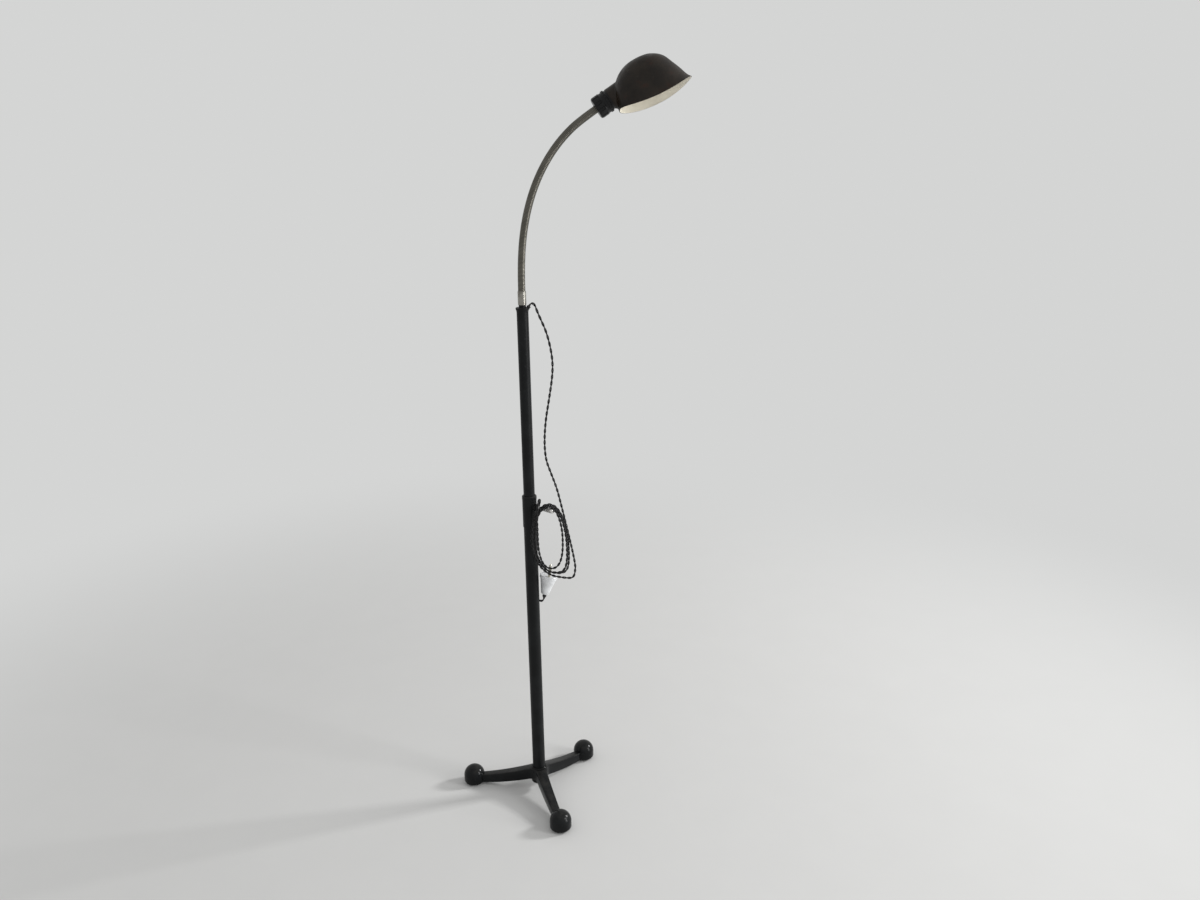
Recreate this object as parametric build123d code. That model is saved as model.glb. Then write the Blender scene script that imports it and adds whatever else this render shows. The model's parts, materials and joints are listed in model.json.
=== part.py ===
"""Gooseneck reading floor lamp, in millimetres.

The origin is where the pole's axis meets the floor. +Z is up and the neck bends towards +X.
A cast tripod carries a telescoping pole, the pole carries a flexible metal neck, and the neck
carries a lamp holder with a scoop-shaped sheet shade. The mains cord leaves the pole's top beside
the neck, hangs free, and is wound in loops over the clamp screw's handle.
"""
import os
from math import copysign, cos, pi, radians, sin, sqrt, tan

from build123d import *

# ---------------------------------------------------------------- driving dimensions
# Tripod
FOOT_CIRCLE_R = 147.5  # pole axis to each ball foot's centre
FOOT_ANGLES = (45.7, 165.7, 285.7)
BALL_R = 22.5
BALL_CENTRE_Z = 19.5
BALL_UNDERSIDE_R = 15.0
BALL_UNDERSIDE_ROUND = 7.0
PAD_R = 13.0
PAD_PROUD = 1.5  # how far each pad stands below its ball
PAD_DEPTH = 3.5
HUB_R = 16.8
HUB_TOP = 57.0
HUB_UNDERSIDE = 22.0
HUB_RING = 3.0  # width of the ring that stands up round the pole
# height of the legs' underside and top at these shares of the foot circle's radius
LEG_SHARES = (0.0, 0.45, 0.96)
LEG_UNDERSIDE = (34.0, 14.5, 3.5)
LEG_TOP = (60.0, 37.5, 21.5)
LEG_ROOT_WIDTH = 24.0
LEG_END_WIDTH = 15.5
LEG_ROUND = 2.4
LEG_HOLLOW_R = 30.0  # the hollow between two legs at the hub

# Pole
LOWER_TUBE_R = 13.25
LOWER_TUBE_WALL = 1.6
LOWER_TUBE_FOOT = 32.0
LOWER_TUBE_TOP = 634.0
UPPER_TUBE_R = 11.25
UPPER_TUBE_WALL = 1.2
UPPER_TUBE_FOOT = 480.0
POLE_TOP = 1056.0
FOOT_PLUG_LENGTH = 22.0
STUD_R = 5.0
NUT_ACROSS_FLATS = 17.0
NUT_THICK = 6.0
WASHER_R = 12.0
WASHER_THICK = 2.0
GUIDE_LENGTH = 36.0
GUIDE_BORE_R = 6.0

# Clamp at the top of the lower tube
COLLAR_TOP = 680.0
COLLAR_FOOT = 614.0
COLLAR_WALL = 1.1
COLLAR_RIM_R = 14.7
COLLAR_RIM_HEIGHT = 8.0
BOSS_R = 7.0
BOSS_REACH = 20.0
CLAMP_Z = 657.0
CLAMP_ANGLE = -38.0
SCREW_R = 3.0
SHOE_LENGTH = 2.6
HANDLE_R = 3.4
HANDLE_LENGTH = 38.0
HANDLE_END_R = 5.0

# Neck swivel on the pole's top
CAP_R = 12.9
CAP_HEIGHT = 9.0
CAP_CROWN = 6.0  # wall above the cap's hollow
CAP_SPIGOT = 20.0
CAP_HOLLOW_R = 8.6
CAP_SEAT_R = 6.8
CAP_SEAT_HEIGHT = 4.4
SPINDLE_R = 5.0
SPINDLE_BORE_R = 3.0
SPINDLE_LENGTH = 34.0
FERRULE_R = 8.0
FERRULE_HEIGHT = 31.0  # its top above the pole's
SWIVEL_NUT_AF = 14.0
SWIVEL_NUT_THICK = 4.0
GLAND_REACH = 12.0  # where the cord's gland sits on the cap's shoulder
GLAND_LEAN = 30.0  # out from upright
GLAND_R = 4.2
GLAND_STEM_R = 3.3
GLAND_FLANGE = 1.2

# Flexible neck: a chain of short ribbed lengths on ball ends
NECK_HINGES = 10
NECK_PITCH = 36.0
NECK_FIRST_Z = POLE_TOP + 42.0
NECK_BEND = 57.0  # from upright to the holder's axis, as it stands
NECK_BEND_GROWTH = 1.58  # how the bend gathers towards the holder
NECK_R = 7.0
NECK_RIB_DEPTH = 0.6
NECK_RIBS = 7
NECK_BORE_R = 2.0
NECK_BALL_R = 5.2
NECK_STEM_R = 3.1
NECK_CUP_LIP = 2.6
NECK_ROOT_LENGTH = 26.0
NECK_TIP_LENGTH = 37.0
NIPPLE_R = 5.0
NIPPLE_LENGTH = 8.0

# Lamp holder, measured along its axis from its back face
SKIRT_R = 16.2
SKIRT_WALL = 1.7
SKIRT_END = 46.0
SKIRT_FLANGE_R = SKIRT_R + 2.8
SKIRT_FLANGE = 4.0
HOLDER_CAP_R = SKIRT_R + 4.0
HOLDER_BACK_R = SKIRT_R + 1.4
HOLDER_CAP_LENGTH = 17.0
HOLDER_CAP_WALL = 3.0
HOLDER_FLUTES = 10
FLUTE_R = 3.4
REAR_RING_R = SKIRT_R + 4.4
REAR_RING_NECK_R = SKIRT_R + 2.0
REAR_RING_WIDE = 5.5  # length of its notched part
RING_NOTCHES = 20
NOTCH_R = 1.3
FRONT_RING_LENGTH = 6.0
INSERT_THICK = 7.0
SHELL_R = 13.9
SHELL_WALL = 0.5
SHELL_LENGTH = 19.0
CONTACT_R = 4.0
CONTACT_THICK = 1.2

# Lamp
BULB_CAP_R = 13.2
BULB_CAP_LENGTH = 26.0
BULB_NECK_R = 12.6
BULB_R = 22.5

# Shade: sheet metal, open below, in its own frame: x along the rim's line from the collar's
# lowest point to the front lip, z square to it
SHADE_SHEET = 1.2
SHADE_COLLAR_BACK = 30.0  # along the holder's axis
SHADE_COLLAR_R = SKIRT_R + 2.8
SHADE_COLLAR_LENGTH = 26.0
SHADE_BLEND_R = 5.0
SHADE_TILT = 11.6  # between the holder's axis and the rim's line
SHADE_TWIST = -9.5  # about the holder's axis, as it stands
SHADE_REACH = 149.5
RIM_BACK = -5.0
RIM_SAG = 14.5
# height above the rim's line, back, front and half width of each level outline, and how square
# its back is: 2 is an ellipse
SHADE_LEVELS = (
    (-18.0, 3.5, 152.0, 50.0, 3.2),
    (-4.0, 4.0, 149.0, 50.0, 3.2),
    (6.0, 4.5, 139.0, 49.5, 3.1),
    (23.0, 7.0, 130.0, 47.5, 2.9),
    (37.0, 13.0, 121.5, 43.5, 2.6),
    (48.0, 22.0, 114.5, 38.5, 2.3),
    (56.5, 33.0, 105.0, 31.0, 2.1),
    (62.0, 46.0, 94.0, 21.0, 2.0),
    (64.0, 60.0, 82.0, 9.0, 2.0),
)

# Cord and plug
CORD_D = 5.0
COIL_START = (62.6, -15.6, 662.0)
# from the gland beside the neck down to the first loop
CORD_DROP = (
    (15.2, 0.0, 1062.54),
    (19.8, -0.4, 1063.9),
    (24.6, -0.9, 1059.8),
    (28.4, -1.3, 1050.2),
    (34.6, -1.8, 1032.8),
    (43.6, -2.9, 1009.0),
    (50.4, -4.0, 981.0),
    (54.4, -5.4, 949.0),
    (52.3, -7.1, 919.2),
    (45.0, -8.8, 878.0),
    (37.0, -10.1, 836.0),
    (33.2, -11.1, 793.0),
    (35.0, -12.0, 757.0),
    (44.6, -12.6, 731.0),
    (56.4, -14.0, 702.0),
    (COIL_START[0], COIL_START[1], 679.0),
)
# outermost and innermost loop: centre x, half width, centre z, half height
COIL_OUTER = (42.6, 45.4, 587.0, 82.4)
COIL_INNER = (38.0, 24.2, 602.8, 62.8)
COIL_QUARTERS = 14  # three and a half turns
COIL_OUTER_Y = -19.0
COIL_PITCH = 5.8  # towards the front, a turn
COIL_LEAN = 17.0  # how far the outer loop's lowest point hangs towards +X
COIL_DROOP = 47.0  # how far its widest point lies below the centre
# from the last loop over the handle's root and down behind the pole to the plug
CORD_TAIL = (
    (13.8, -39.3, 627.0),
    (13.4, -40.7, 645.0),
    (14.8, -40.0, 662.0),
    (16.8, -31.5, 672.0),
    (18.4, -20.5, 675.5),
    (20.2, -9.0, 673.0),
    (21.0, 2.5, 666.0),
    (19.4, 12.0, 654.0),
    (14.8, 18.0, 640.0),
    (8.4, 21.0, 621.0),
    (4.0, 21.2, 597.0),
    (1.5, 20.6, 562.0),
    (1.5, 20.3, 518.0),
    (3.0, 19.5, 484.0),
    (4.8, 17.6, 461.0),
    (9.0, 14.8, 447.5),
    (15.6, 8.4, 443.0),
)
PLUG_TIP = (25.0, 3.0, 463.0)
PLUG_LEAN = 13.0
PLUG_LENGTH = 42.0
PLUG_R = 18.0
PLUG_TIP_R = 8.5
SLEEVE_R = 4.0
SLEEVE_LENGTH = 8.0
PIN_R = 2.4
PIN_LENGTH = 19.0
PIN_SPACING = 19.0

RUNNING = 0.08  # radial clearance of parts that turn or slide in each other
APART = 0.35  # gap between parts that move past each other


# ---------------------------------------------------------------- helpers
def lathe(*outline):
    """A turned solid from (radius, height) corners."""
    return turned([Polyline(*outline, close=True)])


def turned(edges):
    return revolve(Plane.XZ * make_face(edges), Axis.Z)


def tube(outer, inner, foot, top):
    return lathe((inner, foot), (outer, foot), (outer, top), (inner, top))


def rod(radius, foot, top):
    return Pos(0, 0, foot) * Cylinder(radius, top - foot, align=(Align.CENTER, Align.CENTER, Align.MIN))


def hexagon(across_flats, bore, foot, thick):
    blank = extrude(Pos(0, 0, foot) * RegularPolygon(across_flats / 2, 6, major_radius=False), thick)
    return blank - rod(bore, foot - 1, foot + thick + 1)


def round_the_rim(cutter, count):
    """A cutter repeated evenly about the Z axis."""
    return [Rot(0, 0, 360 * i / count) * cutter for i in range(count)]


def keep(name, shape):
    """Writes one node and reports its volume."""
    shape.label = name
    export_step(shape, f"parts/{name}.step")
    print(f"{name:18s} {shape.volume:12.1f} mm3")


def corner_radii(points):
    """The arc at each corner of a free cord: 0.45 of the shorter run over the tangent of half the turn."""
    radii = []
    for a, b, c in zip(points, points[1:], points[2:]):
        before, after = Vector(*b) - Vector(*a), Vector(*c) - Vector(*b)
        half_turn = radians(before.get_angle(after)) / 2
        radii.append(0.45 * min(before.length, after.length) / tan(half_turn))
    return radii


def free_cord(name, points):
    """A round cord along a chosen route: straight runs joined by tangent arcs."""
    radii = corner_radii(points)
    path = FilletPolyline(*points, radius=radii)
    start = Plane(origin=points[0], z_dir=Vector(*points[1]) - Vector(*points[0]))
    cord = sweep(start * Circle(CORD_D / 2), path=path)
    share = cord.volume / (pi * CORD_D**2 / 4 * path.length)
    print(f"{name}: length {path.length:.0f}, volume over section times length {share:.4f}, corner radii",
          " ".join(f"{r:.0f}" for r in radii))
    return cord


def biarc(p0, t0, p1, t1):
    """Two arcs that leave p0 along t0, meet tangentially and reach p1 along t1."""
    v, t = p1 - p0, t0 + t1
    spread = 2 * (1 - t0.dot(t1))
    if spread < 1e-9:
        d = v.dot(v) / (4 * v.dot(t1))
    else:
        d = (sqrt(v.dot(t) ** 2 + spread * v.dot(v)) - v.dot(t)) / spread
    middle = (p0 + t0 * d + p1 - t1 * d) * 0.5
    along = ((p1 - t1 * d) - (p0 + t0 * d)).normalized()
    return [TangentArc(p0, middle, tangent=t0), TangentArc(middle, p1, tangent=along)]


# ---------------------------------------------------------------- tripod
def make_legs():
    """The three legs in one: a star in plan whose top and underside fall away from the middle."""
    reaches = [FOOT_CIRCLE_R * share for share in LEG_SHARES]
    root, tip, end = LEG_ROOT_WIDTH / 2, LEG_END_WIDTH / 2, reaches[-1]
    leg = Polygon((0, -root), (end, -tip), (end, tip), (0, root), align=None)
    star = Sketch() + [Rot(0, 0, angle) * leg for angle in FOOT_ANGLES]
    corners = [corner for corner in star.vertices() if Vector(corner).length < LEG_ROOT_WIDTH]
    star = fillet(corners, LEG_HOLLOW_R)

    under = list(zip(reaches, LEG_UNDERSIDE))
    top = list(zip(reaches, LEG_TOP))
    between = turned([ThreePointArc(*under), Line(under[-1], top[-1]), ThreePointArc(*reversed(top)),
                      Line(top[0], under[0])])
    legs = extrude(star, LEG_TOP[0] + 1) & Rot(0, 0, FOOT_ANGLES[0]) * between
    rims = legs.edges().filter_by(GeomType.BSPLINE)  # between the sides and the top or underside
    return fillet(rims, LEG_ROUND)


def make_ball():
    """A foot: a dome on a short barrel, rounded in to a flat underside."""
    low, side = PAD_PROUD, PAD_PROUD + BALL_UNDERSIDE_ROUND
    corner = sin(pi / 4)
    inward = BALL_R - BALL_UNDERSIDE_R
    return turned([
        Line((0, low), (BALL_UNDERSIDE_R, low)),
        ThreePointArc(
            (BALL_UNDERSIDE_R, low),
            (BALL_UNDERSIDE_R + inward * corner, side - BALL_UNDERSIDE_ROUND * corner),
            (BALL_R, side),
        ),
        Line((BALL_R, side), (BALL_R, BALL_CENTRE_Z)),
        ThreePointArc(
            (BALL_R, BALL_CENTRE_Z),
            (BALL_R * corner, BALL_CENTRE_Z + BALL_R * corner),
            (0, BALL_CENTRE_Z + BALL_R),
        ),
        Line((0, BALL_CENTRE_Z + BALL_R), (0, low)),
    ])


def make_tripod():
    ring_r = LOWER_TUBE_R + HUB_RING
    middle = (HUB_UNDERSIDE + HUB_TOP) / 2
    hub = lathe((0, HUB_UNDERSIDE), (HUB_R, HUB_UNDERSIDE), (HUB_R, middle), (ring_r, middle + 3), (ring_r, HUB_TOP - 0.8),
                (ring_r - 0.8, HUB_TOP), (0, HUB_TOP))
    ball = make_ball()
    body = make_legs() + hub + [Rot(0, 0, angle) * Pos(FOOT_CIRCLE_R, 0, 0) * ball for angle in FOOT_ANGLES]
    body -= rod(LOWER_TUBE_R, LOWER_TUBE_FOOT, HUB_TOP + 20)
    body -= rod(STUD_R, 0, HUB_TOP)
    body -= rod(WASHER_R + 1.5, 0, HUB_UNDERSIDE + WASHER_THICK)
    pad = rod(PAD_R, 0, PAD_DEPTH)
    pads = [Rot(0, 0, angle) * Pos(FOOT_CIRCLE_R, 0, 0) * pad for angle in FOOT_ANGLES]
    keep("tripod_base", body - pads)
    keep("foot_pads", Compound(children=pads))


# ---------------------------------------------------------------- pole
def make_pole():
    lower_bore = LOWER_TUBE_R - LOWER_TUBE_WALL
    seat = HUB_UNDERSIDE + WASHER_THICK
    stud_end = seat - WASHER_THICK - NUT_THICK - 2
    plug_top = LOWER_TUBE_FOOT + FOOT_PLUG_LENGTH
    keep("lower_tube", tube(LOWER_TUBE_R, lower_bore, LOWER_TUBE_FOOT, LOWER_TUBE_TOP))
    keep("tube_foot_plug", rod(STUD_R, stud_end, LOWER_TUBE_FOOT) + rod(lower_bore, LOWER_TUBE_FOOT, plug_top))
    keep("base_washer", tube(WASHER_R, STUD_R, seat - WASHER_THICK, seat))
    keep("base_nut", hexagon(NUT_ACROSS_FLATS, STUD_R, seat - WASHER_THICK - NUT_THICK, NUT_THICK))

    upper_bore = UPPER_TUBE_R - UPPER_TUBE_WALL
    guide_r = lower_bore - RUNNING
    foot = UPPER_TUBE_FOOT
    keep("upper_tube", tube(UPPER_TUBE_R, upper_bore, foot, POLE_TOP - CAP_HEIGHT))
    keep("guide_bush", lathe((GUIDE_BORE_R, foot - 5), (guide_r, foot - 5), (guide_r, foot), (upper_bore, foot),
                             (upper_bore, foot + GUIDE_LENGTH), (GUIDE_BORE_R, foot + GUIDE_LENGTH)))


def clamp_frame():
    """Z points out along the clamp screw, from the pole's axis."""
    angle = radians(CLAMP_ANGLE)
    return Plane(origin=(0, 0, CLAMP_Z), x_dir=(0, 0, 1), z_dir=(cos(angle), sin(angle), 0))


def make_clamp():
    frame = clamp_frame()
    sleeve_r = LOWER_TUBE_R + COLLAR_WALL
    slide_r = UPPER_TUBE_R + RUNNING
    rim_foot = COLLAR_TOP - COLLAR_RIM_HEIGHT
    sleeve = lathe((LOWER_TUBE_R, COLLAR_FOOT), (sleeve_r, COLLAR_FOOT), (sleeve_r, rim_foot), (COLLAR_RIM_R, rim_foot),
                   (COLLAR_RIM_R, COLLAR_TOP - 1.5), (COLLAR_RIM_R - 1.5, COLLAR_TOP), (slide_r, COLLAR_TOP),
                   (slide_r, LOWER_TUBE_TOP), (LOWER_TUBE_R, LOWER_TUBE_TOP))
    boss = frame * (rod(BOSS_R, slide_r, BOSS_REACH - 1.5) + rod(BOSS_R - 1.2, slide_r, BOSS_REACH))
    bore = rod(slide_r, LOWER_TUBE_TOP, COLLAR_TOP)
    keep("clamp_collar", sleeve + (boss - bore) - frame * rod(SCREW_R + RUNNING, 0, BOSS_REACH + 1))
    shoe_end = slide_r + SHOE_LENGTH
    keep("brake_shoe", frame * rod(SCREW_R, slide_r - 1, shoe_end) - bore)

    tip = shoe_end + RUNNING
    grip = BOSS_REACH + 1
    end = grip + HANDLE_LENGTH
    bulge = HANDLE_END_R
    keep("clamp_screw", frame * lathe(
        (0, tip), (SCREW_R, tip), (SCREW_R, grip), (HANDLE_R, grip + 1), (HANDLE_R, grip + 4), (bulge, end - 5),
        (bulge, end - 3), (bulge - 0.8, end - 1.2), (bulge - 2.4, end), (0, end)))


# ---------------------------------------------------------------- swivel on the pole's top
def gland_frame():
    """Z points out of the cap's shoulder, along the cord's first run."""
    lean = radians(GLAND_LEAN)
    return Plane(origin=(GLAND_REACH, 0, POLE_TOP + 1), x_dir=(0, 1, 0), z_dir=(sin(lean), 0, cos(lean)))


def make_swivel():
    upper_bore = UPPER_TUBE_R - UPPER_TUBE_WALL
    cap_foot = POLE_TOP - CAP_HEIGHT
    hollow_top = POLE_TOP - CAP_CROWN
    seat_top = POLE_TOP + CAP_SEAT_HEIGHT
    cap = lathe(
        (CAP_HOLLOW_R, cap_foot - CAP_SPIGOT), (upper_bore, cap_foot - CAP_SPIGOT), (upper_bore, cap_foot),
        (UPPER_TUBE_R, cap_foot), (UPPER_TUBE_R + 0.4, cap_foot + 3), (CAP_R, cap_foot + 6), (CAP_R, POLE_TOP - 1),
        (CAP_R - 1, POLE_TOP),
        (CAP_SEAT_R, POLE_TOP), (CAP_SEAT_R, seat_top), (SPINDLE_R + RUNNING, seat_top),
        (SPINDLE_R + RUNNING, hollow_top), (CAP_HOLLOW_R, hollow_top))
    gland = gland_frame()
    cap -= gland * (rod(GLAND_R + 0.1, 0, 12) + rod(GLAND_STEM_R, -8, 1))
    keep("pole_cap", cap)
    keep("cord_gland", gland * lathe((1.6, -5), (GLAND_STEM_R, -5), (GLAND_STEM_R, 0), (GLAND_R, 0),
                                     (GLAND_R, GLAND_FLANGE * 0.6), (GLAND_R - 0.6, GLAND_FLANGE),
                                     (1.6, GLAND_FLANGE)))

    ferrule_foot = seat_top + RUNNING
    spindle_foot = hollow_top - SWIVEL_NUT_THICK - 3
    spindle_top = spindle_foot + SPINDLE_LENGTH
    ferrule_top = POLE_TOP + FERRULE_HEIGHT
    keep("neck_ferrule", lathe(
        (SPINDLE_R, ferrule_foot), (FERRULE_R - 0.8, ferrule_foot), (FERRULE_R, ferrule_foot + 0.8),
        (FERRULE_R, ferrule_top - 0.8), (FERRULE_R - 0.8, ferrule_top), (NECK_R, ferrule_top),
        (NECK_R, neck_root_foot()), (SPINDLE_R, neck_root_foot())))
    keep("swivel_spindle", tube(SPINDLE_R, SPINDLE_BORE_R, spindle_foot, min(spindle_top, neck_root_foot())))
    nut_foot = hollow_top - RUNNING - SWIVEL_NUT_THICK
    keep("swivel_nut", hexagon(SWIVEL_NUT_AF, SPINDLE_R, nut_foot, SWIVEL_NUT_THICK))


# ---------------------------------------------------------------- flexible neck
def neck_root_foot():
    return NECK_FIRST_Z - NECK_ROOT_LENGTH


def neck_places():
    """The frame of every length of the neck: its origin is the hinge at its foot and Z runs along it.

    The last frame is the holder's, whose Z is the holder's axis."""
    places, at = [], Vector(0, 0, NECK_FIRST_Z)
    for k in range(1, NECK_HINGES + 1):
        lean = radians(NECK_BEND * (k / NECK_HINGES) ** NECK_BEND_GROWTH)
        along = Vector(sin(lean), 0, cos(lean))
        up = Vector(-cos(lean), 0, sin(lean))
        places.append(Plane(origin=at, x_dir=up, z_dir=along))
        at = at + along * (NECK_PITCH if k < NECK_HINGES else NECK_TIP_LENGTH)
    places.append(Plane(origin=at, x_dir=up, z_dir=along))
    return places


def neck_length(foot, head, cup, ball):
    """A ribbed length of neck from foot to head, with a cup below, a ball above, or plain ends."""
    cup_r = NECK_BALL_R + RUNNING
    bowl_r = sqrt(NECK_R**2 + NECK_CUP_LIP**2) + APART
    inner_foot, outer_foot, inner_head = foot, foot, head
    edges = []
    if cup:
        lip_r = sqrt(cup_r**2 - NECK_CUP_LIP**2)
        outer_foot = -NECK_CUP_LIP
        inner_foot = sqrt(cup_r**2 - NECK_BORE_R**2)
        edges.append(Line((lip_r, outer_foot), (NECK_R, outer_foot)))
        edges.append(ThreePointArc((NECK_BORE_R, inner_foot), (cup_r, 0), (lip_r, outer_foot)))
    else:
        edges.append(Line((NECK_BORE_R, foot), (NECK_R, foot)))
    outer_head = head
    if ball:
        outer_head = head - sqrt(bowl_r**2 - NECK_R**2)
        stem_foot = head - sqrt(bowl_r**2 - NECK_STEM_R**2)
        stem_head = head - sqrt(NECK_BALL_R**2 - NECK_STEM_R**2)
        inner_head = head + sqrt(NECK_BALL_R**2 - NECK_BORE_R**2)
        low = radians(45)
        edges += [
            ThreePointArc((NECK_R, outer_head), (bowl_r * sin(low), head - bowl_r * cos(low)), (NECK_STEM_R, stem_foot)),
            Line((NECK_STEM_R, stem_foot), (NECK_STEM_R, stem_head)),
            ThreePointArc((NECK_STEM_R, stem_head), (NECK_BALL_R, head), (NECK_BORE_R, inner_head)),
        ]
    else:
        edges.append(Line((NECK_R, head), (NECK_BORE_R, head)))
    pitch = (outer_head - outer_foot) / NECK_RIBS
    side = [(NECK_R, outer_foot)]
    for rib in range(NECK_RIBS):
        side.append((NECK_R - NECK_RIB_DEPTH, outer_foot + (rib + 0.5) * pitch))
        side.append((NECK_R, outer_foot + (rib + 1) * pitch))
    edges.append(Polyline(*side))
    edges.append(Line((NECK_BORE_R, inner_head), (NECK_BORE_R, inner_foot)))
    return turned(edges)


def make_neck():
    places = neck_places()
    root = Plane(origin=(0, 0, NECK_FIRST_Z), x_dir=(-1, 0, 0), z_dir=(0, 0, 1))
    keep("neck_root", root * neck_length(-NECK_ROOT_LENGTH, 0, cup=False, ball=True))
    link = neck_length(0, NECK_PITCH, cup=True, ball=True)
    for number, place in enumerate(places[:NECK_HINGES - 1], start=1):
        keep(f"neck_link_{number}", place * link)
    tip = neck_length(0, NECK_TIP_LENGTH, cup=True, ball=False)
    nipple = tube(NIPPLE_R, NECK_BORE_R, NECK_TIP_LENGTH, NECK_TIP_LENGTH + NIPPLE_LENGTH)
    keep("neck_tip", places[NECK_HINGES - 1] * (tip + nipple))
    return places[-1]


# ---------------------------------------------------------------- holder, lamp and shade
def make_holder(frame):
    wall, end = HOLDER_CAP_WALL, HOLDER_CAP_LENGTH
    skirt_in = SKIRT_R - SKIRT_WALL
    cap = lathe((NIPPLE_R, 0), (HOLDER_BACK_R, 0), (HOLDER_CAP_R - 0.8, 1.5), (HOLDER_CAP_R, 4), (HOLDER_CAP_R, end - 2),
                (HOLDER_CAP_R - 1, end), (SKIRT_R, end), (SKIRT_R, wall + 1), (NIPPLE_R, wall + 1))
    flute = Pos(HOLDER_CAP_R + FLUTE_R * 0.4, 0, 0) * rod(FLUTE_R, -1, end - 3)
    keep("holder_cap", frame * (cap - round_the_rim(flute, HOLDER_FLUTES)))

    flange_end = end + SKIRT_FLANGE
    keep("holder_skirt", frame * lathe(
        (skirt_in, wall + 1), (SKIRT_R, wall + 1), (SKIRT_R, end), (SKIRT_FLANGE_R, end), (SKIRT_FLANGE_R, flange_end),
        (SKIRT_R, flange_end), (SKIRT_R, SKIRT_END), (skirt_in, SKIRT_END)))

    wide_end = flange_end + REAR_RING_WIDE
    ring = lathe((SKIRT_R, flange_end), (REAR_RING_R - 1, flange_end), (REAR_RING_R, flange_end + 1),
                 (REAR_RING_R, wide_end - 1), (REAR_RING_R - 1, wide_end), (REAR_RING_NECK_R, wide_end),
                 (REAR_RING_NECK_R, SHADE_COLLAR_BACK), (SKIRT_R, SHADE_COLLAR_BACK))
    notch = Pos(REAR_RING_R + NOTCH_R * 0.4, 0, 0) * rod(NOTCH_R, flange_end - 1, wide_end + 1)
    keep("rear_shade_ring", frame * (ring - round_the_rim(notch, RING_NOTCHES)))
    front = SHADE_COLLAR_BACK + SHADE_SHEET + 2 * RUNNING
    ring_r = SHADE_COLLAR_R - SHADE_SHEET - APART
    keep("front_shade_ring", frame * tube(ring_r, SKIRT_R, front, front + FRONT_RING_LENGTH))

    insert_top = end + INSERT_THICK
    keep("ceramic_insert", frame * lathe((2, end), (skirt_in, end), (skirt_in, insert_top), (2, insert_top)))
    shell_top = insert_top + SHELL_LENGTH
    keep("screw_shell", frame * tube(SHELL_R, SHELL_R - SHELL_WALL, insert_top, shell_top))
    contact_top = insert_top + CONTACT_THICK
    keep("centre_contact", frame * rod(CONTACT_R, insert_top, contact_top))

    cap_end = contact_top + BULB_CAP_LENGTH
    keep("bulb_cap", frame * lathe(
        (0, contact_top), (CONTACT_R, contact_top), (9, contact_top + 2.5), (BULB_CAP_R, contact_top + 5),
        (BULB_CAP_R, cap_end - 2), (BULB_NECK_R, cap_end), (0, cap_end)))
    centre = cap_end + 2.4 + sqrt(BULB_R**2 - BULB_NECK_R**2)
    keep("bulb_glass", frame * turned([
        Line((0, cap_end), (BULB_NECK_R, cap_end)),
        Line((BULB_NECK_R, cap_end), (BULB_NECK_R, cap_end + 2.4)),
        ThreePointArc((BULB_NECK_R, cap_end + 2.4), (BULB_R, centre), (0, centre + BULB_R)),
        Line((0, centre + BULB_R), (0, cap_end)),
    ]))


def level_outline(back, front, half_width, square):
    """A closed level curve: half an ellipse in front and a squarer half behind."""
    points = []
    for step in range(24):
        t = 2 * pi * step / 24
        power = 1.0 if cos(t) >= 0 else 2 / square
        x = (front + back) / 2 + (front - back) / 2 * copysign(abs(cos(t)) ** power, cos(t))
        points.append((x, half_width * copysign(abs(sin(t)) ** power, sin(t))))
    return make_face(Spline(*points, periodic=True))


def shade_dome(inset):
    """The closed dome of the shade: a loft of its level outlines, all drawn in by inset."""
    top = SHADE_LEVELS[-1][0]
    outlines = []
    for level, back, front, half_width, square in SHADE_LEVELS:
        drop = inset * max(level, 0) / top
        outlines.append(Pos(0, 0, level - drop) * level_outline(back + inset, front - inset, half_width - inset, square))
    return loft(outlines)


def make_shade(frame):
    """Drawn in the rim's frame, then set on the holder's axis and twisted."""
    tilt = radians(SHADE_TILT)
    axis_start = (-SHADE_COLLAR_R * sin(tilt), 0, SHADE_COLLAR_R * cos(tilt))
    collar_frame = Plane(origin=axis_start, x_dir=(0, 1, 0), z_dir=(cos(tilt), 0, sin(tilt)))
    dome = shade_dome(0)
    collar = collar_frame * rod(SHADE_COLLAR_R, 0, SHADE_COLLAR_LENGTH)
    shell = dome + collar
    junction = new_edges(dome, collar, combined=shell)
    shell = fillet(junction, SHADE_BLEND_R)

    hollow = shade_dome(SHADE_SHEET)
    hollow += collar_frame * rod(SHADE_COLLAR_R - SHADE_SHEET, SHADE_SHEET, SHADE_COLLAR_LENGTH + 2)
    shell -= hollow
    shell -= collar_frame * rod(SKIRT_R + RUNNING, -1, SHADE_SHEET + 1)
    low = -60.0
    below = extrude(Plane.XZ.offset(-80) * make_face([
        ThreePointArc((0, RIM_BACK), (SHADE_REACH / 2, -RIM_SAG), (SHADE_REACH, 0)),
        Polyline((SHADE_REACH, 0), (200, 12), (200, low), (-20, low), (-20, RIM_BACK), (0, RIM_BACK)),
    ]), 160)
    shell -= below

    up, along = frame.x_dir, frame.z_dir
    rim_along = along * cos(tilt) - up * sin(tilt)
    rim_up = along * sin(tilt) + up * cos(tilt)
    corner = frame.origin + along * (SHADE_COLLAR_BACK + RUNNING) - up * SHADE_COLLAR_R
    placed = Plane(origin=corner, x_dir=rim_along, z_dir=rim_up) * shell
    keep("shade", placed.rotate(Axis(frame.origin, along), SHADE_TWIST))


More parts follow.
